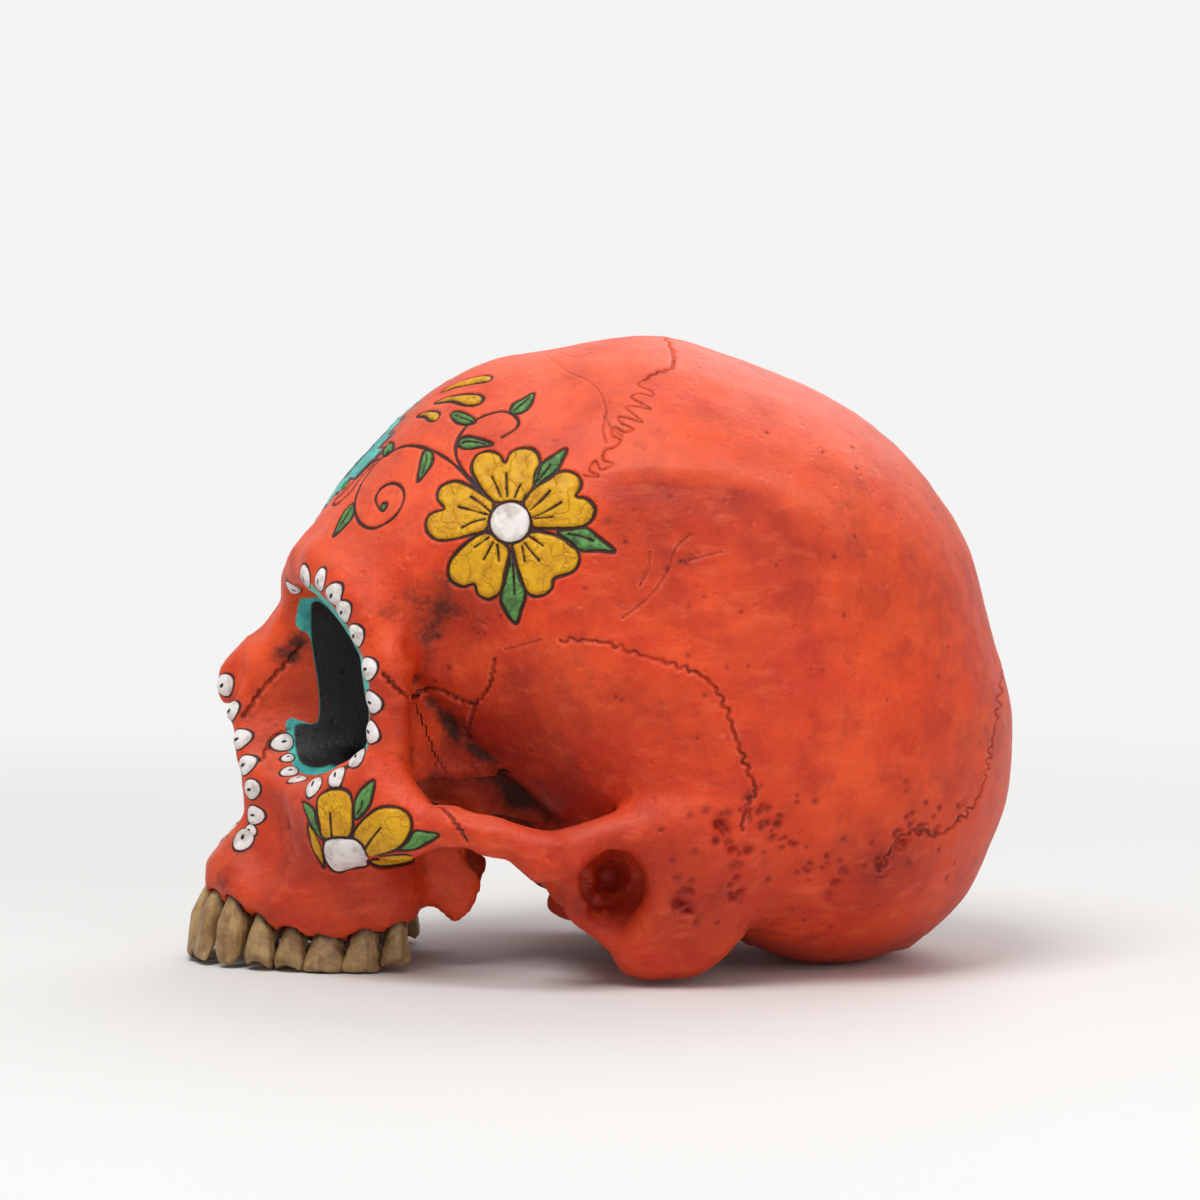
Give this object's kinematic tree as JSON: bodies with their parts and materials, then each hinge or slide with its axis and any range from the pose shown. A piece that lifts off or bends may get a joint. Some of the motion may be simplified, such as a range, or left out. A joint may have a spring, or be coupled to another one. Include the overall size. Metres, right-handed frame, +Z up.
{
  "type": "sugar skull",
  "caption": "Life-size painted skull ornament without its lower jaw, in traditional Day of the Dead colours, made of separate bones and upper teeth.",
  "frame": {"origin": "middle of the skull's footprint on the surface that it rests on", "axes": "+Z up; the face looks along -Y; the skull's left side is at +X; Y is the length from face to back"},
  "size_m": [0.1418, 0.2046, 0.1539],
  "materials": {
    "painted_bone": "satin orange-red paint on cast resin",
    "tooth": "stained ivory cast resin"
  },
  "bodies": {
    "root": {"frontal_bone": "painted_bone", "occipital_bone": "painted_bone", "sphenoid_bone": "painted_bone", "ethmoid_bone": "painted_bone", "vomer": "painted_bone", "parietal_bone_left": "painted_bone", "temporal_bone_left": "painted_bone", "zygomatic_bone_left": "painted_bone", "nasal_bone_left": "painted_bone", "lacrimal_bone_left": "painted_bone", "palatine_bone_left": "painted_bone", "inferior_concha_left": "painted_bone", "maxilla_left": "painted_bone", "parietal_bone_right": "painted_bone", "temporal_bone_right": "painted_bone", "zygomatic_bone_right": "painted_bone", "nasal_bone_right": "painted_bone", "lacrimal_bone_right": "painted_bone", "palatine_bone_right": "painted_bone", "inferior_concha_right": "painted_bone", "maxilla_right": "painted_bone", "central_incisor_left": "tooth", "lateral_incisor_left": "tooth", "canine_left": "tooth", "first_premolar_left": "tooth", "second_premolar_left": "tooth", "first_molar_left": "tooth", "second_molar_left": "tooth", "third_molar_left": "tooth", "central_incisor_right": "tooth", "lateral_incisor_right": "tooth", "canine_right": "tooth", "first_premolar_right": "tooth", "second_premolar_right": "tooth", "first_molar_right": "tooth", "second_molar_right": "tooth", "third_molar_right": "tooth"}
  },
  "joints": []
}
